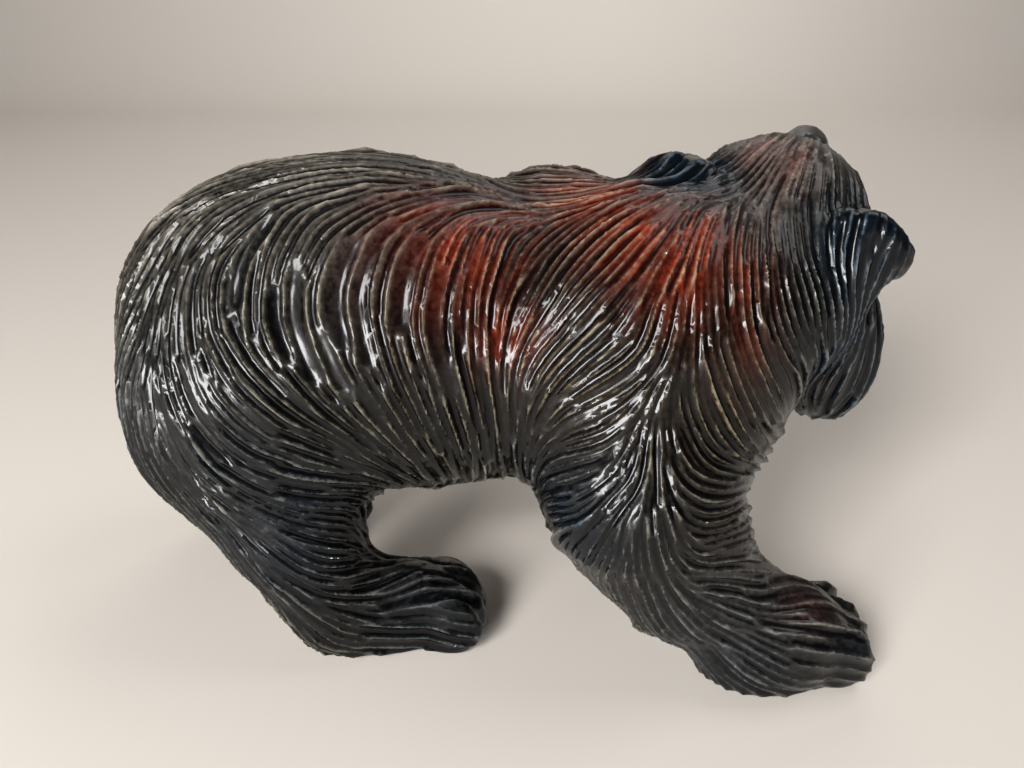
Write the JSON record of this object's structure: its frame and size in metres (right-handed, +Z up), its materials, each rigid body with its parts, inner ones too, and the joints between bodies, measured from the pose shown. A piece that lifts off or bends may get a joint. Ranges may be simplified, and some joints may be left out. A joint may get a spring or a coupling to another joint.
{
  "type": "carved wooden bear",
  "caption": "Bear carved from one block of black-stained, lacquered wood, standing on its feet in mid stride, head turned to its left, coat cut in long gouge strokes.",
  "frame": {"origin": "bottom centre of the bear's bounding box, on the surface that it stands on", "axes": "+X towards the chest and the front feet, +Y towards the bear's left, where the head is turned, +Z up"},
  "size_m": [0.3404, 0.1778, 0.215],
  "materials": {
    "stained_wood": "black-brown stain under worn clear lacquer, dusty on the crests of the carving"
  },
  "bodies": {
    "root": {"bear": "stained_wood"}
  },
  "joints": []
}
